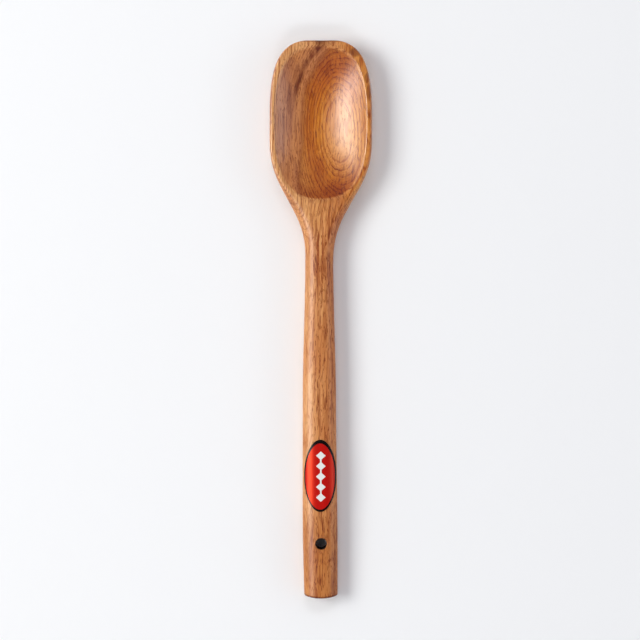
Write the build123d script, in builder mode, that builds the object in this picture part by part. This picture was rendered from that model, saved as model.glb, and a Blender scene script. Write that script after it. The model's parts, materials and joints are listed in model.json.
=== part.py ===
from build123d import *
import os

# A carved wooden cooking spoon lying on its back. Y runs along the spoon from the butt end of the
# handle to the front of the bowl, X runs across it, and Z = 0 is the table that it rests on. The
# origin is on the table, under the middle of the length.

# Lengths along the spoon: butt end to narrowest neck, neck to widest line of the bowl, and from there
# to the front edge
handle_length = 181.6
shoulder_length = 71.4
tip_length = 47.0

# Widths across the spoon
neck_width = 15.1
middle_width = 18.0
grip_width = 18.8
butt_width = 18.0
bowl_width = 55.1

# The handle bows a little to one side of the bowl's centre line, as hand finishing leaves it
handle_bow = 0.85
butt_bow_share = -0.1

# Heights: the bowl's rim, the gap under the neck, and the thickness of the handle
rim_height = 15.2
neck_clearance = 2.6
neck_thickness = 12.2
butt_thickness = 13.6

# The underside of the bowl and of the butt are sanded flat where they stand on the table
sanded_depth = 0.3

# Where the handle has its middle and grip widths, as shares of the way from the neck to the butt
middle_place_share = 0.42
grip_place_share = 0.8

# Rounded outer edge of the bowl's rim. At the front it is rounded over a share of this height.
rim_round_width = 1.1
rim_round_height = 3.8
tip_edge_share = 0.8

# Shape of the cross-sections: how full their corners are and how much of them is flat
corner_fullness_share = 0.58
handle_flat_share = 0.15
underside_flat_share = 0.25

# How quickly the shoulder starts to widen and how early it has widened
flare_start_power = 2.5
flare_end_power = 4.5

# The front of the bowl follows a rounded square in plan and an ellipse below
tip_plan_power = 3.3
tip_keel_power = 2.0
tip_width_shares = [0.99, 0.96, 0.90, 0.80, 0.70, 0.60, 0.50, 0.40, 0.25]

# Hollow of the bowl: its depth, the rim left at its sides and front, the wood left between it and the
# narrowest neck, and how far its deepest place lies ahead of the bowl's widest line and to the left
hollow_depth = 10.6
side_rim_width = 2.4
front_rim_width = 2.5
shoulder_land_length = 31.8
hollow_ahead = 3.8
hollow_shift = 0.3
hollow_overrun = 1.5
hollow_corner_share = 0.72
hollow_floor_corner_share = 0.56
hollow_floor_share = 0.06
hollow_edge_radius = 0.7

# Butt end, gently domed, with its edge eased
butt_dome_rise = 1.3
butt_edge_radius = 1.0

# Hole for a hook or a loop of string, drilled through the handle a little to one side
hang_hole_radius = 3.0
hang_hole_from_butt = 29.5
hang_hole_shift = 0.5
hang_hole_edge = 0.4

# Oval label on the handle: a black film with a red film on it. The red one sits a little off the
# middle of the black one.
label_from_butt = 66.1
label_shift = 0.3
backing_width = 17.4
backing_length = 38.7
backing_thickness = 0.25
face_width = 15.9
face_length = 35.5
face_shift_across = -0.1
face_shift_along = -0.4
face_thickness = 0.2

# White print on the label: a row of lozenges on a thin line
motif_shift = 0.3
lozenge_count = 5
lozenge_width = 5.2
lozenge_length = 4.6
lozenge_gap = 1.0
motif_line_width = 0.8
motif_thickness = 0.05

# Number of cross-sections along the handle and the shoulder, and of levels in the hollow
handle_sections = 20
shoulder_sections = 10
hollow_levels = 12

# Clear distance by which cutting shapes pass the wood
cut_overrun = 2.0

# Places worked out from the sizes above
overall_length = handle_length + shoulder_length + tip_length
butt_y = -overall_length / 2
neck_y = butt_y + handle_length
widest_y = neck_y + shoulder_length
neck_top = neck_clearance + neck_thickness
rim_shoulder_height = rim_height - rim_round_height
mid_handle_height = neck_clearance + neck_thickness / 2
butt_dome_radius = (butt_width**2 / 4 + butt_dome_rise**2) / (2 * butt_dome_rise)
hollow_y = widest_y + hollow_ahead
hollow_width = bowl_width - 2 * side_rim_width
hollow_front_reach = tip_length - hollow_ahead - front_rim_width
hollow_back_reach = shoulder_length + hollow_ahead - shoulder_land_length


def between(start, end, share):
    """The place a share of the way from start to end."""
    return start + share * (end - start)


def ease(share):
    """A share that starts and ends slowly."""
    return share * share * (3 - 2 * share)


def flare(share):
    """How far the shoulder has widened, a share of the way along it."""
    return 1 - (1 - share**flare_start_power) ** flare_end_power


def bow_at(place):
    """Sideways place of the handle's centre line, a share of the way from the neck to the butt."""
    return -handle_bow * between(1, butt_bow_share, place**3)


def handle_width_at(place):
    """Width of the handle, a share of the way from the neck to the butt."""
    if place < middle_place_share:
        return between(neck_width, middle_width, ease(place / middle_place_share))
    if place < grip_place_share:
        run = grip_place_share - middle_place_share
        return between(middle_width, grip_width, ease((place - middle_place_share) / run))
    run = 1 - grip_place_share
    return between(grip_width, butt_width, ease((place - grip_place_share) / run))


def corner(start, elbow, end, fullness_share=corner_fullness_share):
    """A rounded corner from start to end that is pulled towards its elbow."""
    pull_start = tuple(between(a, b, fullness_share) for a, b in zip(start, elbow))
    pull_end = tuple(between(a, b, fullness_share) for a, b in zip(end, elbow))
    return Bezier(start, pull_start, pull_end, end, mode=Mode.PRIVATE)


def section_face(y, centre, half_width, top, bottom, widest, flat, growth):
    """Cross-section of the spoon at y. Growth moves its outline outwards."""
    left = centre - half_width - growth
    right = centre + half_width + growth
    top = top + growth
    bottom = bottom - growth
    low_flat = underside_flat_share * half_width
    top_left = (centre - flat, top)
    top_right = (centre + flat, top)
    low_left = (centre - low_flat, bottom)
    low_right = (centre + low_flat, bottom)
    with BuildLine(Plane.XZ.offset(-y)):
        outline = [
            Line(top_left, top_right, mode=Mode.PRIVATE),
            corner(top_right, (right, top), (right, widest)),
            corner((right, widest), (right, bottom), low_right),
            Line(low_right, low_left, mode=Mode.PRIVATE),
            corner(low_left, (left, bottom), (left, widest)),
            corner((left, widest), (left, top), top_left),
        ]
    return make_face(outline)


def handle_section(place, growth):
    """Oval section of the handle, a share of the way from the neck to the butt."""
    half_width = handle_width_at(place) / 2
    bottom = between(neck_clearance, -sanded_depth / 2, place**2)
    thickness = between(neck_thickness, butt_thickness, ease(place))
    return section_face(between(neck_y, butt_y, place), bow_at(place), half_width, bottom + thickness,
                        bottom, bottom + thickness / 2, handle_flat_share * half_width, growth)


def shoulder_section(place, growth):
    """Section between the neck, which is oval, and the bowl, which is flat on top."""
    change = flare(place)
    half_width = between(neck_width, bowl_width, change) / 2
    top = between(neck_top, rim_height, ease(place))
    bottom = between(neck_clearance, -sanded_depth, ease(place))
    widest = between((top + bottom) / 2, rim_shoulder_height, change)
    flattening = 1 - (1 - change) ** 2
    flat = between(handle_flat_share * half_width, half_width - rim_round_width, flattening)
    return section_face(between(neck_y, widest_y, place), bow_at(0) * (1 - place) ** 2, half_width, top,
                        bottom, widest, flat, growth)


def tip_section(width_share, growth):
    """Section near the front of the bowl, where it has this share of its full width."""
    reach = (1 - width_share**tip_plan_power) ** (1 / tip_plan_power)
    last_reach = (1 - tip_width_shares[-1] ** tip_plan_power) ** (1 / tip_plan_power)
    along = tip_length * reach / last_reach
    keel = 1 - (1 - reach**tip_keel_power) ** (1 / tip_keel_power)
    into_edge = max(0, 1 - (tip_length - along) / rim_round_width)
    half_width = width_share * bowl_width / 2
    top = rim_height - rim_round_height * (1 - (1 - into_edge**2) ** 0.5) * tip_edge_share
    bottom = between(-sanded_depth, rim_shoulder_height, keel)
    return section_face(widest_y + along, 0, half_width, top, bottom, rim_shoulder_height,
                        half_width - rim_round_width, growth)


def spoon_sections(growth):
    """All cross-sections from the butt to the front of the bowl."""
    sections = []
    for step in range(handle_sections):
        sections.append(handle_section(1 - step / handle_sections, growth))
    for step in range(shoulder_sections + 1):
        sections.append(shoulder_section(step / shoulder_sections, growth))
    for width_share in tip_width_shares:
        sections.append(tip_section(width_share, growth))
    return sections


def hollow_outline(size_share):
    """Level outline of the hollow. Its size is a share of that at the rim, its depth follows."""
    side = size_share * hollow_width / 2
    front = size_share * hollow_front_reach
    back = size_share * hollow_back_reach
    fullness_share = between(hollow_floor_corner_share, hollow_corner_share, min(size_share, 1))
    level = rim_height - hollow_depth * (1 - size_share**2)
    with BuildLine(Plane((-hollow_shift, hollow_y, level))):
        outline = [
            corner((0, front), (side, front), (side, 0), fullness_share),
            corner((side, 0), (side, -back), (0, -back), fullness_share),
            corner((0, -back), (-side, -back), (-side, 0), fullness_share),
            corner((-side, 0), (-side, front), (0, front), fullness_share),
        ]
    return make_face(outline)


hollow_top_share = (1 + hollow_overrun / hollow_depth) ** 0.5
hollow_outlines = []
for step in range(hollow_levels + 1):
    share = between(hollow_top_share, hollow_floor_share, step / hollow_levels)
    hollow_outlines.append(hollow_outline(share))

hang_hole_x = bow_at(1 - hang_hole_from_butt / handle_length) + hang_hole_shift
hang_hole_y = butt_y + hang_hole_from_butt
label_x = bow_at(1 - label_from_butt / handle_length) + label_shift
label_y = butt_y + label_from_butt

# The blank is the spoon's outer form, before the hollow, the hole and the flats are cut
blank_sections = spoon_sections(0)
with BuildPart() as blank:
    loft(sections=blank_sections)

with BuildPart() as spoon_body:
    add(blank.part)
    loft(sections=hollow_outlines, mode=Mode.SUBTRACT)
    rim = spoon_body.edges(Select.LAST).filter_by_position(Axis.Z, neck_top, rim_height + cut_overrun)
    fillet(rim, radius=hollow_edge_radius)
    with BuildSketch(Plane.XY.offset(-cut_overrun)):
        with Locations((0, butt_y + butt_dome_radius / 2 - cut_overrun)):
            Rectangle(2 * butt_dome_radius, butt_dome_radius)
        with Locations((bow_at(1), butt_y + butt_dome_radius)):
            Circle(butt_dome_radius, mode=Mode.SUBTRACT)
    extrude(amount=rim_height + 2 * cut_overrun, mode=Mode.SUBTRACT)
    fillet(spoon_body.faces().sort_by(Axis.Y)[0].edges(), radius=butt_edge_radius)
    with Locations((hang_hole_x, hang_hole_y)):
        Hole(hang_hole_radius)
    hole_wall = spoon_body.faces().filter_by(GeomType.CYLINDER).sort_by(Axis.Y)[-1]
    chamfer(hole_wall.edges().filter_by(GeomType.LINE, reverse=True), length=hang_hole_edge)
    split(bisect_by=Plane.XY, keep=Keep.TOP)

# Each layer of the label is a thin skin over the wood or over the layer below it, cut from a form
# that stands off from the wood by the thickness of the layers
backing_growth = backing_thickness
backing_sections = spoon_sections(backing_growth)
with BuildPart() as label_backing:
    loft(sections=backing_sections)
    with BuildSketch(Plane.XY.offset(mid_handle_height)):
        with Locations((label_x, label_y)):
            Ellipse(backing_width / 2, backing_length / 2)
    extrude(amount=rim_height, mode=Mode.INTERSECT)
    add(blank.part, mode=Mode.SUBTRACT)

face_growth = backing_growth + face_thickness
face_sections = spoon_sections(face_growth)
with BuildPart() as label_face:
    loft(sections=face_sections)
    with BuildSketch(Plane.XY.offset(mid_handle_height)):
        with Locations((label_x + face_shift_across, label_y + face_shift_along)):
            Ellipse(face_width / 2, face_length / 2)
    extrude(amount=rim_height, mode=Mode.INTERSECT)
    add(blank.part, mode=Mode.SUBTRACT)
    add(label_backing.part, mode=Mode.SUBTRACT)

motif_sections = spoon_sections(face_growth + motif_thickness)
lozenge_step = lozenge_length + lozenge_gap
with BuildPart() as label_motif:
    loft(sections=motif_sections)
    with BuildSketch(Plane.XY.offset(mid_handle_height)):
        with Locations((label_x + motif_shift, label_y + face_shift_along)):
            Rectangle(motif_line_width, (lozenge_count - 1) * lozenge_step)
            with GridLocations(0, lozenge_step, 1, lozenge_count):
                Polygon((0, -lozenge_length / 2), (lozenge_width / 2, 0), (0, lozenge_length / 2),
                        (-lozenge_width / 2, 0))
    extrude(amount=rim_height, mode=Mode.INTERSECT)
    add(blank.part, mode=Mode.SUBTRACT)
    add(label_backing.part, mode=Mode.SUBTRACT)
    add(label_face.part, mode=Mode.SUBTRACT)

os.makedirs("parts", exist_ok=True)
spoon_body.part.label = "spoon_body"
label_backing.part.label = "label_backing"
label_face.part.label = "label_face"
label_motif.part.label = "label_motif"
export_step(spoon_body.part, "parts/spoon_body.step")
export_step(label_backing.part, "parts/label_backing.step")
export_step(label_face.part, "parts/label_face.step")
export_step(label_motif.part, "parts/label_motif.step")
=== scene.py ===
# %% [markdown]
# # A wooden cooking spoon
# The spoon lies on its back and is seen from straight above. Its wood is one carved piece, and an oval
# film label is stuck to the handle. The solids come ready from the CAD model, in metres, and all that is
# added here lies in the same frame. So this lesson is about light and about materials.

# %% Load the solids
import json
import math

import bpy
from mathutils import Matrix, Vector

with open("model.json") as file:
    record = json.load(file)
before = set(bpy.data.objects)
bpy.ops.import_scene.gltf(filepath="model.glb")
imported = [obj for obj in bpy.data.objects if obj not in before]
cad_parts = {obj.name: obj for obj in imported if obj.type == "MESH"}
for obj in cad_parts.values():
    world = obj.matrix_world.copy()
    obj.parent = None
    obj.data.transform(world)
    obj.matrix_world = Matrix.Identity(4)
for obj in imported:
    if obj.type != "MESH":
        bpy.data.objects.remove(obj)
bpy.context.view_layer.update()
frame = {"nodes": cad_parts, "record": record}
MM = 0.001
print("nodes:", sorted(frame["nodes"]))

# %% [markdown]
# ## The camera
# From straight above, the whole spoon and the inside of its bowl show at once. A short lens close by
# would make the bowl's rim swell, so the camera is over a metre away and has a long lens. A camera that
# is neither turned nor tilted looks down the Z axis, with +Y up in the picture, which is how the spoon
# lies. The lens follows from the distance and from how wide a piece of the scene the picture shows. That
# width is measured a little above the table, at the height of the spoon's edges. The Standard view
# transform is set here too, because it shows each colour as it is written.

# %% Place the camera
CAMERA_PLACE = (-0.00045, -0.0003, 1.3)
PICTURE_WIDTH = 0.3441
EDGES_HEIGHT = 0.012
SENSOR_WIDTH = 0.036

camera_data = bpy.data.cameras.new("camera")
camera = bpy.data.objects.new("camera", camera_data)
bpy.context.scene.collection.objects.link(camera)
bpy.context.scene.camera = camera
bpy.context.scene.view_settings.view_transform = "Standard"
camera.location = CAMERA_PLACE
camera_data.sensor_width = SENSOR_WIDTH / MM
camera_data.lens = SENSOR_WIDTH / MM * (CAMERA_PLACE[2] - EDGES_HEIGHT) / PICTURE_WIDTH
print("lens in mm:", round(camera_data.lens, 1))


# %% [markdown]
# ## A shorthand for sums
# A shader is a graph of nodes. It could be drawn by hand in the editor, but a graph of this length is
# hard to read there, and as plain code each sum takes four lines. So `Wire` wraps one output socket and
# overloads the signs of sums: `a * 2 + b` adds the two Math nodes by itself.

# %% A wire between two nodes
class Wire:
    """One output socket. Sums on it add Math nodes to its board."""

    def __init__(self, board, socket):
        self.board = board
        self.socket = socket

    def __add__(self, other):
        return self.board.maths("ADD", self, other)

    def __radd__(self, other):
        return self.board.maths("ADD", other, self)

    def __sub__(self, other):
        return self.board.maths("SUBTRACT", self, other)

    def __rsub__(self, other):
        return self.board.maths("SUBTRACT", other, self)

    def __mul__(self, other):
        return self.board.maths("MULTIPLY", self, other)

    def __rmul__(self, other):
        return self.board.maths("MULTIPLY", other, self)

    def __truediv__(self, other):
        return self.board.maths("DIVIDE", self, other)

    def __rtruediv__(self, other):
        return self.board.maths("DIVIDE", other, self)


# %% [markdown]
# ## A board for the nodes
# All other nodes come from one method, `Board.node`. It takes the node's type, then its settings, and
# then what goes into its sockets. Settings come first because some of them change which sockets there
# are. `Board.finish` ends a material: a Principled surface, bumpy where a height is given.

# %% A board that holds the nodes
class Board:
    """The node tree of one material or world."""

    def __init__(self, owner):
        self.owner = owner
        owner.use_nodes = True
        self.tree = owner.node_tree
        self.tree.nodes.clear()

    def node(self, kind, settings=None, sockets=None, output=0):
        """One node of a kind, with its settings and the values or wires of its sockets."""
        node = self.tree.nodes.new("ShaderNode" + kind)
        for name, value in (settings or {}).items():
            if name == "stops":
                self.set_stops(node.color_ramp, value)
            else:
                setattr(node, name, value)
        for name, value in (sockets or {}).items():
            if isinstance(value, Wire):
                self.tree.links.new(value.socket, node.inputs[name])
            else:
                node.inputs[name].default_value = value
        return Wire(self, node.outputs[output]) if node.outputs else node

    @staticmethod
    def set_stops(ramp, stops):
        """Stops run from the first to the last place given, whatever their unit."""
        first, last = stops[0][0], stops[-1][0]
        while len(ramp.elements) < len(stops):
            ramp.elements.new(1)
        for element, (place, colour) in zip(ramp.elements, stops):
            element.position = (place - first) / (last - first)
            element.color = colour

    def maths(self, operation, *values):
        # An operation takes one, two or three values, and only those given are set
        return self.node("Math", {"operation": operation}, dict(enumerate(values)))

    def finish(self, sockets, bump=None, bump_distance=0.0):
        """A Principled surface with these sockets, and the material that carries it."""
        if bump is not None:
            sockets["Normal"] = self.node("Bump", None, {"Height": bump, "Distance": bump_distance})
        surface = self.node("BsdfPrincipled", None, sockets)
        self.node("OutputMaterial", None, {"Surface": surface})
        return self.owner


# %% [markdown]
# ## Colours as a screen shows them
# A colour given here has parts from 0 to 255, which follow a screen's curve. A shader counts light, so
# the curve is taken out first. Typing the linear values would do as well, but nobody can picture them.

# %% Turn a screen's colour into light
def rgb(red, green, blue):
    """A colour with parts from 0 to 255, made linear, with full alpha."""
    shares = [value / 255 for value in (red, green, blue)]
    linear = [s / 12.92 if s <= 0.04045 else ((s + 0.055) / 1.055) ** 2.4 for s in shares]
    return (*linear, 1)


print("middle grey is", round(rgb(128, 128, 128)[0], 3), "in light")

# %% [markdown]
# ## The table
# The spoon lies on a plain pale sheet. A curved backdrop would hide a far edge, but none shows from
# above, so a flat plane is enough. It is far wider than the picture, so that views from the side find
# table behind the spoon too. It is matt, because all that it should show is the spoon's soft shadow.

# %% Lay the table
FLOOR_SIZE = 12
TABLE_WHITE = rgb(249, 250, 251)

bpy.ops.object.select_all(action="DESELECT")
bpy.ops.mesh.primitive_plane_add(size=FLOOR_SIZE, location=(0, 0, 0))
floor = bpy.context.object
floor.name = "table"
pale_table = Board(bpy.data.materials.new("pale_table"))
floor.data.materials.append(pale_table.finish({
    "Base Color": TABLE_WHITE,
    "Roughness": 0.8,
    "Specular IOR Level": 0.1,
}))
print("table:", FLOOR_SIZE, "m wide")

# %% [markdown]
# ## The lamps
# A soft box does two jobs: it lights the wood, and its reflection is the sheen. One lamp could do both,
# but then a brighter sheen also makes the wood paler. So each lamp here has one job, and the two are set
# apart. The key on the left gives the handle its bright left flank and the bowl its one long highlight,
# so its boxes are a little longer along the spoon than they are tall. A weak fill and a narrow glow
# answer it from the right, and two cool strips past the spoon's ends lighten the shadow.

# %% Hang the soft boxes
LAMP_DISTANCE = 2.4
COOL_WHITE = (0.94, 0.96, 1.0)
LAMPS = [
    # Name, job, degrees from straight up, heading, size, watts and colour
    ("key_box", "light", 45, 173, (1.3, 1.1), 37.5, (0.985, 0.985, 0.95)),
    ("key_glow", "sheen", 47, 176, (1.45, 1.35), 130, (1.0, 0.985, 0.955)),
    ("fill_panel", "light", 62, -5, (2.0, 0.6), 5, (1.0, 1.0, 1.0)),
    ("side_glow", "sheen", 69, -4, (2.0, 0.4), 20, (0.98, 0.98, 1.0)),
    ("front_strip", "light", 34, 90, (0.9, 0.4), 7.4, COOL_WHITE),
    ("back_strip", "light", 34, -90, (0.9, 0.4), 7.4, COOL_WHITE),
]


def soft_box(name, job, from_vertical, heading, size, power, colour):
    """An area light that looks at the middle of the table. Its size is level, then up its slope."""
    tilt = math.radians(from_vertical)
    turn = math.radians(heading)
    level = math.sin(tilt)
    place = LAMP_DISTANCE * Vector((level * math.cos(turn), level * math.sin(turn), math.cos(tilt)))
    data = bpy.data.lights.new(name, "AREA")
    data.shape = "RECTANGLE"
    data.size, data.size_y = size
    data.energy = power
    data.color = colour
    lamp = bpy.data.objects.new(name, data)
    bpy.context.scene.collection.objects.link(lamp)
    lamp.location = place
    lamp.rotation_euler = place.to_track_quat("Z", "Y").to_euler()
    lamp.visible_diffuse = job == "light"
    lamp.visible_glossy = job == "sheen"
    print(name, "hangs at", [round(value, 2) for value in place])


for lamp_row in LAMPS:
    soft_box(*lamp_row)


# %% [markdown]
# ## The room
# Where no lamp reaches, the room gives the light. A world of one flat grey could do that, but it lays a
# haze on the wood wherever it looks straight up. Behind a camera the ceiling is dark, so here it is
# nearly black, and the walls are pale, a little dimmer past the spoon's two ends. Three helpers take a
# direction apart, fade from 0 to 1, and mix two colours.

# %% Split, fade and mix
def split(vector):
    """The X, Y and Z of a vector."""
    parts = vector.board.node("SeparateXYZ", None, {"Vector": vector})
    return [Wire(vector.board, socket) for socket in parts.socket.node.outputs]


def smooth_step(value, low, high):
    """0 up to the low value and 1 from the high one, with a soft change between them."""
    sockets = {"Value": value, "From Min": low, "From Max": high}
    return value.board.node("MapRange", {"interpolation_type": "SMOOTHSTEP"}, sockets)


def mix(share, first, second, blend="MIX"):
    """The first colour where the share is 0, and the second blended in where it is 1."""
    # Sockets 6 and 7 are the colours A and B, and output 2 is the mixed colour
    settings = {"data_type": "RGBA", "blend_type": blend}
    return share.board.node("Mix", settings, {0: share, 6: first, 7: second}, output=2)


# %% Light the room
ROOM_PALE = (0.52, 0.51, 0.545, 1)
ROOM_ENDS = (0.34, 0.34, 0.365, 1)
CEILING_DARK = (0.045, 0.044, 0.05, 1)
CEILING_EDGE = (0.64, 0.93)

room = Board(bpy.data.worlds.new("room"))
bpy.context.scene.world = room.owner
_, along, up = split(room.node("TexCoord", output=0))
overhead = smooth_step(up, *CEILING_EDGE)
walls = mix(along * along, ROOM_PALE, ROOM_ENDS)
room_light = room.node("Background", None, {"Color": mix(overhead, walls, CEILING_DARK)})
room.node("OutputWorld", None, {"Surface": room_light})
print("the ceiling darkens from", round(math.degrees(math.acos(CEILING_EDGE[0]))), "degrees off straight up")

# %% [markdown]
# ## Where the spoon sat in the tree
# The ovals in the bowl, the stripes on its shoulder and the streaks on the handle are one pattern: the
# tree's growth rings, cut by the spoon's surface. They could be painted as lines, but then they would
# run wrong over every edge. So the shader works out, for every point, how far it was from the middle of
# the tree. It reads Object coordinates, which are the frame's own, because the solid sits unmoved in it.
# The trunk ran along the spoon, and its middle lay below the right side of the bowl. Where the hollow
# lies flat against the rings they show as nested ovals, and along the handle as long streaks.


# %% Measure the distance from the middle of the tree
def hypotenuse(one, other):
    """The long side of a right triangle, from its two short sides."""
    return one.board.maths("SQRT", one * one + other * other)


TREE_X = 22.9
TREE_HEIGHT = -29.0
TREE_LEAN = -0.0425
OVALS_Y = 101.1
OVALS_RADIUS = 37.7

wood = Board(bpy.data.materials.new("oiled_wood"))
metres = wood.node("TexCoord", output=3)
x, y, z = split(wood.node("VectorMath", {"operation": "SCALE"}, {0: metres, "Scale": 1 / MM}))

across = x - TREE_X
above = z - TREE_HEIGHT - (y - OVALS_Y) * TREE_LEAN
distance = hypotenuse(across, above)
print("rings at the ovals have a radius of", OVALS_RADIUS, "mm")


# %% [markdown]
# ## Rings that wander
# No tree is turned on a lathe: its rings swell and waver. Perfect rings would look like a target drawn
# with compasses. One noise with much detail could bend them, but it is as rough along the grain as
# across it. So three are added to the distance, slow and wide first, then finer, and each is drawn out
# along the spoon, because wood changes slowly along its grain and quickly across it.

# %% Let the rings wander
def combine(along_x, along_y, along_z):
    """A vector from its three parts, the first of them a wire."""
    return along_x.board.node("CombineXYZ", None, {"X": along_x, "Y": along_y, "Z": along_z})


def noise(place, detail=2.0, roughness=0.5):
    """Soft noise around a half. Its patches are one unit wide where it isn't scaled."""
    sockets = {"Vector": place, "Scale": 1.0, "Detail": detail, "Roughness": roughness}
    return place.board.node("TexNoise", None, sockets)


def stretched(scale_across, scale_along, shift=0.0):
    """Coordinates for noise that is drawn out along the spoon."""
    return combine(x * scale_across + shift, y * scale_along, z * scale_across)


WANDER_SCALES = (0.03, 0.008)
WANDER_DEPTH = 3.6
RIPPLE_SCALES = (0.14, 0.03)
RIPPLE_DEPTH = 1.3
QUIVER_SCALES = (0.7, 0.09)
QUIVER_DEPTH = 0.22

wander = noise(stretched(*WANDER_SCALES)) - 0.5
ripple = noise(stretched(*RIPPLE_SCALES, shift=5.0)) - 0.5
quiver = noise(stretched(*QUIVER_SCALES, shift=9.0)) - 0.5
wandering = wander * WANDER_DEPTH + ripple * RIPPLE_DEPTH + quiver * QUIVER_DEPTH
ring_depth = distance - OVALS_RADIUS + wandering
print("rings wander by up to", (WANDER_DEPTH + RIPPLE_DEPTH + QUIVER_DEPTH) / 2, "mm to each side")

# %% [markdown]
# ## Growth rings
# A ring starts pale and open in spring and ends in a thin dark line in autumn. A Wave texture could draw
# rings, but all of one width and shape. Here the depth is first stretched and squeezed by noise that
# depends on the depth alone, because the width differs from year to year. What is left after whole rings
# are taken off runs from 0 to 1 in each ring, and a ramp turns it into the seasons. Three faint lines in
# each ring stand for the dry weeks of its year. The rings are broken here and there, as they are
# wherever fibres hide them.

# %% Draw the rings
RING_WIDTH = 1.0
NONE = (0, 0, 0, 1)
FULL = (1, 1, 1, 1)


def grey(value):
    """A grey with full alpha, as a stop of a ramp takes it."""
    return (value, value, value, 1)


def ramp(value, stops):
    """A colour for each value, from stops that give some values and their colours."""
    first, last = stops[0][0], stops[-1][0]
    return value.board.node("ValToRGB", {"stops": stops}, {"Fac": (value - first) / (last - first)})


SEASONS = [(0.0, grey(0.8)), (0.12, grey(0.15)), (0.4, NONE), (0.75, grey(0.3)), (0.93, FULL), (1.0, FULL)]
DRY_WEEKS = [(0.0, grey(0.5)), (0.3, NONE), (0.7, NONE), (1.0, FULL)]
LINES_IN_A_RING = 3.0
YEAR_SCALE = 0.22
YEAR_SHIFT = 2.5
BREAK_SCALES = (0.45, 0.07)
BREAK_FADE = (0.35, 0.6)

year_noise = noise(combine(ring_depth * YEAR_SCALE, 0.0, 0.0), detail=1.0)
years = ring_depth / RING_WIDTH + year_noise * YEAR_SHIFT
autumn = ramp(wood.maths("FRACT", years), SEASONS)
dry_weeks = ramp(wood.maths("FRACT", years * LINES_IN_A_RING + quiver), DRY_WEEKS)
ring_breaks = smooth_step(noise(stretched(*BREAK_SCALES, shift=3.0)), *BREAK_FADE)
ring_mask = autumn * (ring_breaks * 0.75 + 0.25)
print("rings are about", RING_WIDTH, "mm wide")

# %% [markdown]
# ## Fibres and pores
# Wood is a bundle of long tubes. The wide ones are pores: where the surface runs along them they are
# short dark dashes, and where it cuts across them they are dots. They could be scattered one by one, but
# noise that is stretched along the spoon gives both at once, because the surface cuts it the same way.
# Finer noise gives the fibres between them. All of it bends a little as it runs. Each pair of scales is
# how many patches there are in a millimetre, across the grain and along it, and each fade says from
# which value of the noise a mark begins and where it is full.

# %% Stretch noise into pores and fibres
BEND_SCALES = (0.05, 0.04)
BEND_DEPTH = 5.0

bend = noise(stretched(*BEND_SCALES, shift=1.0)) * BEND_DEPTH


def grain(scale_across, scale_along, detail=2.0):
    """Noise along the grain, which bends a little as it runs."""
    bent = combine((x + bend) * scale_across, y * scale_along, (z + bend) * scale_across)
    return noise(bent, detail, roughness=0.6)


PORE_SCALES = (1.6, 0.26)
PORE_FADE = (0.56, 0.68)
DASH_SCALES = (1.1, 0.08)
DASH_FADE = (0.55, 0.68)
FIBRE_SCALES = (4.5, 0.1)
FIBRE_FADE = (0.35, 0.7)

pore_mask = smooth_step(grain(*PORE_SCALES), *PORE_FADE)
dash_mask = smooth_step(grain(*DASH_SCALES, detail=1.0) + autumn * 0.05, *DASH_FADE)
fibre_mask = smooth_step(grain(*FIBRE_SCALES, detail=3.0), *FIBRE_FADE)
print("nodes on the wood's board so far:", len(wood.tree.nodes))

# %% [markdown]
# ## The tone of each run of years
# Oiled wood of this kind is golden, but some runs of years are paler and some deeper. One colour with
# darker rings on it would look flat. So the base colour is a ramp over the depth from the ovals, in
# millimetres: pale in the middle of the ovals, deep amber around them, pale again far out, and duller
# below, toward the middle of the tree.

# %% Colour the years
YEAR_TONES = [
    (-10.4, rgb(190, 122, 74)),
    (-4.3, rgb(200, 132, 80)),
    (0.0, rgb(224, 160, 98)),
    (2.6, rgb(220, 148, 70)),
    (4.0, rgb(216, 140, 52)),
    (5.6, rgb(206, 124, 44)),
    (6.9, rgb(200, 120, 46)),
    (8.6, rgb(206, 126, 52)),
    (10.8, rgb(214, 142, 70)),
    (17.3, rgb(224, 164, 108)),
    (31.0, rgb(230, 174, 120)),
]

colour = ramp(ring_depth, YEAR_TONES)
print("tones from", YEAR_TONES[0][0], "to", YEAR_TONES[-1][0], "mm")

# %% [markdown]
# ## Painted light on the golden side, and the handle
# The bowl's right side, whose wall faces the key lamp, is painted paler and more golden: this is painted
# light. The handle is an even tan. A mask could be painted on a map, but a fade over a band of places is
# exact, and it works on a solid that has no map. Each band is a pair of places in millimetres, across the
# spoon or along it.

# %% Paint light on the right side, and tan the handle
LIT_GOLDEN_BAND = (10.0, 23.0)
LIT_GOLDEN_END = (23.5, 27.0)
LIT_GOLDEN_PAINT = rgb(244, 182, 92)
NECK_BAND = (38.0, 72.0)
HANDLE_TAN = rgb(228, 166, 108)

golden_side_painted_light = smooth_step(x, *LIT_GOLDEN_BAND) * (1 - smooth_step(x, *LIT_GOLDEN_END) * 0.7)
toward_handle = 1 - smooth_step(y, *NECK_BAND)
# Painted light: the bowl's right wall, which faces the key lamp, is mixed toward a paler gold
colour = mix(golden_side_painted_light * 0.55, colour, LIT_GOLDEN_PAINT)
colour = mix(toward_handle * 0.75, colour, HANDLE_TAN)
print("the handle's tan begins at the neck, at", NECK_BAND, "mm")


# %% [markdown]
# ## Painted light and shade on the flanks, streaks and clouds
# On the handle the left flank, which faces the key lamp, is painted paler as painted light, and the right
# flank is darkened as painted shade. The wood before the butt is dulled by hands. Long pale streaks and
# soft darker clouds run through all of it. Lighter layers are mixed in, but darker ones are multiplied, so
# that they keep the hue of what is below.

# %% Find the painted light and shade of the flanks, and the butt
PAINTED_LIGHT_FLANK_BAND = (-6.0, -2.8)
PAINTED_SHADE_FLANK_BAND = (-1.0, 6.0)
BUTT_BAND = (-118.0, -95.0)

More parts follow.
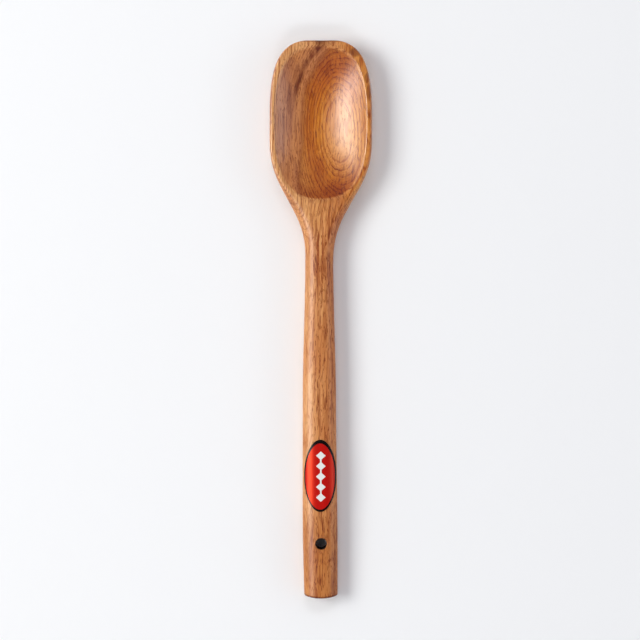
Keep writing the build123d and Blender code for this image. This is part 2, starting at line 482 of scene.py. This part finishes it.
# The left flank gets painted light and the right flank painted shade
pale_flank_painted_light = (1 - smooth_step(x, *PAINTED_LIGHT_FLANK_BAND)) * toward_handle
dark_flank_painted_shade = smooth_step(x, *PAINTED_SHADE_FLANK_BAND) * toward_handle
toward_butt = 1 - smooth_step(y, *BUTT_BAND)
print("the butt's shade begins at", BUTT_BAND[1], "mm")

# %% Find the streaks and the clouds
STREAK_SCALES = (0.75, 0.03)
STREAK_FADE = (0.5, 0.68)
CLOUD_SCALES = (0.14, 0.03)
CLOUD_FADE = (0.45, 0.65)

pale_streaks = smooth_step(grain(*STREAK_SCALES, detail=3.0), *STREAK_FADE)
clouds = smooth_step(noise(stretched(*CLOUD_SCALES, shift=17.0)), *CLOUD_FADE)
print("a streak is about", round(1 / STREAK_SCALES[1]), "mm long, and a cloud as much")


# %% Lay on the painted light and shade of the flanks, the streaks and the clouds
def darken(colour, share, tint):
    """The colour times a tint, as far as the share goes."""
    return mix(share, colour, tint, "MULTIPLY")


PAINTED_LIGHT_FLANK_TAN = rgb(240, 184, 128)
STREAK_TAN = rgb(236, 182, 124)
PAINTED_SHADE_FLANK_TINT = rgb(226, 190, 164)
BUTT_TINT = rgb(222, 198, 164)
CLOUD_TINT = rgb(226, 196, 168)

streak_share = toward_handle * 0.35 + toward_butt * 0.3 + 0.15
# Painted light on the handle's left flank; further down, painted shade on its right flank
colour = mix(pale_flank_painted_light * 0.55, colour, PAINTED_LIGHT_FLANK_TAN)
colour = mix(pale_streaks * streak_share, colour, STREAK_TAN)
colour = darken(colour, dark_flank_painted_shade * (0.6 - toward_butt * 0.4), PAINTED_SHADE_FLANK_TINT)
colour = darken(colour, toward_butt * 0.9, BUTT_TINT)
colour = darken(colour, clouds * 0.5, CLOUD_TINT)
print("nodes on the wood's board so far:", len(wood.tree.nodes))

# %% [markdown]
# ## Painted shade on the walls of the hollow
# The hollow's two end walls get painted shade: their colour is darkened to deepen the shade that falls
# there. A second material would leave a hard edge, so the walls are found by their place. `inside` is 0
# over the middle of the hollow and about 1 at its lip. The hollow's surface rises with it, so a point's
# height above that curve tells the hollow from the underside.

# %% Paint shade on the end walls
HOLLOW_MIDDLE_Y = 106.8
HOLLOW_HALF_WIDTH = 25.3
HOLLOW_HALF_LENGTH = 42.54
HOLLOW_RISE = 9.5
UPPER_SIDE_BAND = (2.0, 3.5)
LIP_BAND = (1.05, 1.15)
WOOD_CORNERS = frame["nodes"]["spoon_body"].bound_box
RIM_TOP = max(corner[2] for corner in WOOD_CORNERS) / MM
RIM_TOP_BAND = (RIM_TOP - 1.02, RIM_TOP - 0.42)
FAR_WALL_BAND = (108.0, 134.0)
FAR_WALL_SHADE_TINT = rgb(232, 208, 160)
NEAR_WALL_BAND = (76.0, 98.0)
NEAR_WALL_SHADE_TINT = rgb(226, 208, 170)

from_middle_x = x / HOLLOW_HALF_WIDTH
from_middle_y = (y - HOLLOW_MIDDLE_Y) / HOLLOW_HALF_LENGTH
inside = from_middle_x * from_middle_x + from_middle_y * from_middle_y
upper_side = smooth_step(z - inside * HOLLOW_RISE, *UPPER_SIDE_BAND)
in_hollow = (1 - smooth_step(inside, *LIP_BAND)) * upper_side
rim_mask = smooth_step(z, *RIM_TOP_BAND) * (1 - toward_handle)
far_wall_painted_shade = smooth_step(y, *FAR_WALL_BAND) * (1 - rim_mask) * upper_side
near_wall_painted_shade = (1 - smooth_step(y, *NEAR_WALL_BAND)) * in_hollow
# Painted shade on the far and the near end wall of the hollow
colour = darken(colour, far_wall_painted_shade * 0.95, FAR_WALL_SHADE_TINT)
colour = darken(colour, near_wall_painted_shade * 0.75, NEAR_WALL_SHADE_TINT)
print("the wood's top is at", round(RIM_TOP, 2), "mm, and the hollow's middle at", HOLLOW_MIDDLE_Y)

# %% [markdown]
# ## Painted light on the rim, painted shade on the lip
# The flat top of the rim is painted paler, more so on the left, where the key lamp catches it: this is
# painted light. Just below it, on the side of the handle, the lip inside the hollow is darkened with
# painted shade. Faces could be picked and given materials of their own, but wood has no such seams, so
# both are fades over a band of heights. Where it can, a band is measured down from the top of the wood.

# %% Painted light on the rim, painted shade on the lip
LIP_RISE_BAND = (10.5, 13.6)
LIP_TOP_BAND = (RIM_TOP - 0.87, RIM_TOP - 0.52)
NEAR_LIP_BAND = (74.0, 92.0)
LIP_SHADE_TINT = rgb(214, 170, 126)
RIGHT_RIM_BAND = (-4.0, 20.0)
RIM_LIT_TAN = rgb(240, 188, 128)

rim_painted_light = rim_mask * (0.5 - smooth_step(x, *RIGHT_RIM_BAND) * 0.4)
lip_height = smooth_step(z, *LIP_RISE_BAND) * (1 - smooth_step(z, *LIP_TOP_BAND))
lip_shade = lip_height * in_hollow * (1 - smooth_step(y, *NEAR_LIP_BAND))
# Painted light on the rim's top, then painted shade on the lip below it
colour = mix(rim_painted_light, colour, RIM_LIT_TAN)
colour = darken(colour, lip_shade * 0.7, LIP_SHADE_TINT)
print("the rim is pale above", round(RIM_TOP_BAND[0], 1), "mm")

# %% [markdown]
# ## End grain
# Where the saw cut across the tubes, at the butt and at the very front, the open ends drink oil and go
# dark. A slice of places at each end would do on a square end, but the butt is curved, so its reach
# is measured along that curve.

# %% Darken the two ends
BUTT_CURVE = 0.016
FRONT_Y = max(corner[1] for corner in WOOD_CORNERS) / MM
END_BAND = (FRONT_Y - 1.4, FRONT_Y - 0.5)
END_TINT = rgb(156, 116, 88)

end_reach = wood.maths("MAXIMUM", x * x * BUTT_CURVE - y, y)
end_grain = smooth_step(end_reach, *END_BAND)
colour = darken(colour, end_grain * 0.85, END_TINT)
print("end grain begins", round(END_BAND[0], 1), "mm from the middle")

# %% [markdown]
# ## The dark years
# Behind the bowl's left wall lies a run of dull, purplish brown years with a darker edge. It could be a
# patch on the left of the bowl, but it belongs to the tree as the rings do. So it is a step in the same
# depth, and comes out of the wall along a curve, as it does in real wood. It fades toward the neck, and
# the pale rim passes over it.

# %% Colour the dark years
DARK_DEPTH = 10.8
DARK_RAGGEDNESS = 3.0
DARK_FADES_Y = 95.0
DARK_FADE_RATE = 0.22
DARK_FRONT_BAND = (128.0, 148.0)
DARK_FRONT_SHIFT = 0.4
PALE_RIM_HEIGHT = RIM_TOP - 0.72
RIM_RAGGEDNESS = 1.4
DARK_PALER = rgb(216, 148, 92)
DARK_DEEPER = rgb(192, 126, 84)

past_fade = wood.maths("MAXIMUM", DARK_FADES_Y - y, 0.0)
front_shift = smooth_step(y, *DARK_FRONT_BAND) * DARK_FRONT_SHIFT
dark_depth = ring_depth - past_fade * DARK_FADE_RATE - front_shift
ragged_height = z + quiver * RIM_RAGGEDNESS
under_rim = 1 - smooth_step(ragged_height, PALE_RIM_HEIGHT - 0.35, PALE_RIM_HEIGHT + 0.45)
ragged_depth = dark_depth + ripple * DARK_RAGGEDNESS
dark_mask = smooth_step(ragged_depth, DARK_DEPTH - 1.2, DARK_DEPTH + 1.6) * under_rim
colour = mix(dark_mask * 0.85, colour, mix(clouds, DARK_PALER, DARK_DEEPER))
print("the dark years begin", DARK_DEPTH, "mm from the ovals")

# %% Streak and edge the dark years
DARK_STREAK_SCALES = (0.4, 0.02)
DARK_STREAK_FADE = (0.52, 0.62)
DARK_STREAK_TINT = rgb(168, 122, 96)
DARK_EDGE_TINT = rgb(170, 120, 90)

dark_edge = ramp(dark_depth, [
    (DARK_DEPTH - 2.2, NONE),
    (DARK_DEPTH - 0.3, FULL),
    (DARK_DEPTH + 0.3, FULL),
    (DARK_DEPTH + 1.8, NONE),
])
dark_streaks = smooth_step(grain(*DARK_STREAK_SCALES), *DARK_STREAK_FADE) * dark_mask
colour = darken(colour, dark_streaks * 0.4, DARK_STREAK_TINT)
colour = darken(colour, dark_edge * under_rim * 0.35, DARK_EDGE_TINT)
print("nodes on the wood's board so far:", len(wood.tree.nodes))

# %% [markdown]
# ## The stain at the front
# A narrow dark stain lies in the dark years near the front of the bowl. It could be one more tone of the
# ramp, but then it would follow the rings. So its depth shifts along the spoon, and it crosses them at a
# slant, as a stain does that followed a crack.

# %% Lay the stain
STAIN_FRONT_Y = FRONT_Y - 1.0
STAIN_LEAN = 0.07
STAIN_STOPS = [(12.2, NONE), (13.4, FULL), (14.2, FULL), (15.6, NONE)]
STAIN_BAND = (108.0, 128.0)
STAIN_TINT = rgb(150, 98, 60)

stain_depth = ring_depth - (STAIN_FRONT_Y - y) * STAIN_LEAN
stain = ramp(stain_depth, STAIN_STOPS) * smooth_step(y, *STAIN_BAND)
colour = darken(colour, stain * (ring_breaks * 0.45 + 0.5), STAIN_TINT)
print("the stain begins at", STAIN_BAND[0], "mm along the spoon")

# %% [markdown]
# ## Dark marks on the rim
# Four small dark flecks sit on the rim, where a fibre tore or a knot was near. They could be tiny pieces
# laid on top, but they have no thickness. Each is a soft spot around one place, with a frayed edge.

# %% Set the marks
MARKS = [
    # Place across and along, then reach across and along
    (18.6, 143.4, 3.4, 2.8),
    (24.8, 129.6, 1.6, 2.8),
    (25.8, 121.5, 1.4, 5.0),
    (-1.0, 148.6, 2.6, 1.8),
]
MARKS_BAND = (8.0, 12.0)
MARK_FADE = (0.2, 1.1)
MARK_RAGGEDNESS = 2.0
MARK_TINT = rgb(150, 104, 78)


def mark(middle_x, middle_y, reach_x, reach_y):
    """A dark fleck with a frayed edge."""
    from_x = (x - middle_x) / reach_x
    from_y = (y - middle_y) / reach_y
    from_middle = from_x * from_x + from_y * from_y + quiver * MARK_RAGGEDNESS
    return 1 - smooth_step(from_middle, *MARK_FADE)


marks = sum(mark(*places) for places in MARKS) * smooth_step(z, *MARKS_BAND)
colour = darken(colour, marks * 0.7, MARK_TINT)
print("dark marks:", len(MARKS))

# %% [markdown]
# ## Rings and stripes over the tone
# Now the rings are laid over the tones. In the very middle of the ovals the surface only grazes one
# ring, which would show there as a large blot, so the rings fade out toward it. They are weaker on the
# handle, where broad stripes from the shoulder of the bowl take over.

# %% Lay on the rings
RING_TINT = rgb(184, 126, 74)
LINE_TINT = rgb(236, 212, 184)
OVALS_MIDDLE_BAND = (0.4, 2.4)
SHOULDER_BAND = (5.0, 40.0)
STRIPE_SCALES = (0.62, 0.018)
STRIPE_FADE = (0.5, 0.6)

off_middle = smooth_step(ring_depth, *OVALS_MIDDLE_BAND) * 0.92 + 0.08
ring_share = (1 - dark_mask * 0.5) * (1 - toward_handle * 0.6) * off_middle * 0.9
shoulder = toward_handle * smooth_step(y, *SHOULDER_BAND)
stripe_share = shoulder * 0.5 + toward_butt * 0.25 + toward_handle * 0.2 + off_middle * 0.1
stripes = smooth_step(grain(*STRIPE_SCALES, detail=1.0), *STRIPE_FADE) * stripe_share
# Marks are calmer where the handle's flank carries painted light
calm_on_painted_light = 1 - pale_flank_painted_light * 0.5
colour = darken(colour, ring_mask * ring_share, RING_TINT)
colour = darken(colour, stripes * calm_on_painted_light, RING_TINT)
colour = darken(colour, dry_weeks * off_middle * 0.7, LINE_TINT)
print("rings fade within", OVALS_MIDDLE_BAND[1], "mm of the middle of the ovals")

# %% [markdown]
# ## Fibres and pores over the rings
# The finest marks go on last, so that nothing covers them. They show most on the handle, where the
# surface runs along the tubes, and least on its pale flank, where the painted light washes them out.

# %% Lay on the fibres and pores
PORE_TINT = rgb(174, 126, 80)
FIBRE_TINT = rgb(240, 222, 200)

colour = darken(colour, fibre_mask * 0.8, FIBRE_TINT)
colour = darken(colour, dash_mask * calm_on_painted_light * (toward_handle * 0.25 + 0.45), PORE_TINT)
colour = darken(colour, pore_mask * calm_on_painted_light * (toward_handle * 0.25 + 0.7), PORE_TINT)
print("nodes on the wood's board so far:", len(wood.tree.nodes))

# %% [markdown]
# ## The scorched and shaded hole
# A drill rubs the sides of a narrow hole and scorches them dark, and beyond that they are painted near
# black as painted shade, for the shade deep in the hole. A dark tube could be put inside it, but the wood
# itself is painted. The mask is the distance from the hole's middle, read off the imported record, so it
# follows the hole if the hole moves.

# %% Darken the hole with scorch and painted shade
SCORCH_AND_PAINTED_SHADE = rgb(16, 9, 7)
SCORCH_AND_SHADE_EDGE = 0.2

hole = next(m for m in frame["record"]["mounts"] if m["name"] == "hang_hole")
hole_radius = hole["dims"]["r_mm"]
from_hole = hypotenuse(x - hole["pos_m"][0] / MM, y - hole["pos_m"][1] / MM)
hole_mask = 1 - smooth_step(from_hole, hole_radius, hole_radius + SCORCH_AND_SHADE_EDGE)
# Scorch and painted shade together make the walls of the hole near black
colour = mix(hole_mask * 0.98, colour, SCORCH_AND_PAINTED_SHADE)
print("hole: radius", hole_radius, "mm")

# %% [markdown]
# ## The oiled surface
# Oil leaves a satin sheen. A single glossy layer would make the wood look varnished, so the wood itself
# hardly shines, and a thin soft coat lies on it. Pores don't fill up, so they are rougher and a little
# sunken, and hand sanding leaves the surface very slightly wavy, which breaks up the long highlights.
# The handle is duller, as hands rub the oil off it.

# %% Finish the wood
WAVE_SCALES = (0.12, 0.05)
WAVE_HEIGHT = 0.0004

waves = noise(stretched(*WAVE_SCALES), detail=1.0)
oiled_wood = wood.finish({
    "Base Color": colour,
    "Roughness": 0.27 + pore_mask * 0.2 + fibre_mask * 0.06 + toward_handle * 0.18 + hole_mask * 0.5,
    "Specular IOR Level": 0.15,
    "Coat Weight": (0.4 - toward_handle * 0.25) * (1 - hole_mask),
    "Coat Roughness": 0.34,
}, bump=waves - pore_mask * 0.1 - dash_mask * 0.05, bump_distance=WAVE_HEIGHT)
frame["nodes"]["spoon_body"].material_slots[0].material = oiled_wood
print("spoon_body is now", oiled_wood.name, "with", len(wood.tree.nodes), "nodes")

# %% [markdown]
# ## The label
# The label is satin printed film in three layers: a black oval, a red oval on it and a row of white
# lozenges. One material with a printed pattern would do on a flat sheet, but each layer is a piece of its
# own here, so each has its own plain film. Film is smooth, but it lies on wood, so faint waves from the
# grain come through it, and printed colour is never quite even, so it has a fine mottle.

# %% Print the film
GRAIN_SCALE = (600, 60, 600)
MOTTLE_SCALE = (6000, 6000, 6000)
MOTTLE_TINT = rgb(190, 190, 190)
WHITE_SHEEN = (1, 1, 1, 1)
RED_SHEEN = (1.0, 0.15, 0.06, 1)
GRAIN_HEIGHT = 0.00002


def film(name, ink, specular, sheen):
    """The material of one film, with its ink, how much it shines and the colour of its sheen."""
    board = Board(bpy.data.materials.new(name))
    place = board.node("TexCoord", output=3)
    wood_below = noise(board.node("Mapping", None, {"Vector": place, "Scale": GRAIN_SCALE}))
    mottle = noise(board.node("Mapping", None, {"Vector": place, "Scale": MOTTLE_SCALE}))
    return board.finish({
        "Base Color": mix(mottle * 0.25, ink, MOTTLE_TINT, "MULTIPLY"),
        "Roughness": 0.33 + wood_below * 0.08,
        "Specular IOR Level": specular,
        "Specular Tint": sheen,
    }, bump=wood_below, bump_distance=GRAIN_HEIGHT)


films = {
    "label_backing": film("black_film", rgb(13, 9, 8), 0.1, WHITE_SHEEN),
    "label_face": film("red_film", rgb(194, 17, 18), 0.8, RED_SHEEN),
    "label_motif": film("white_print", rgb(242, 240, 238), 0.3, WHITE_SHEEN),
}
for name, material in films.items():
    frame["nodes"][name].material_slots[0].material = material
    print(name, "is now", material.name)
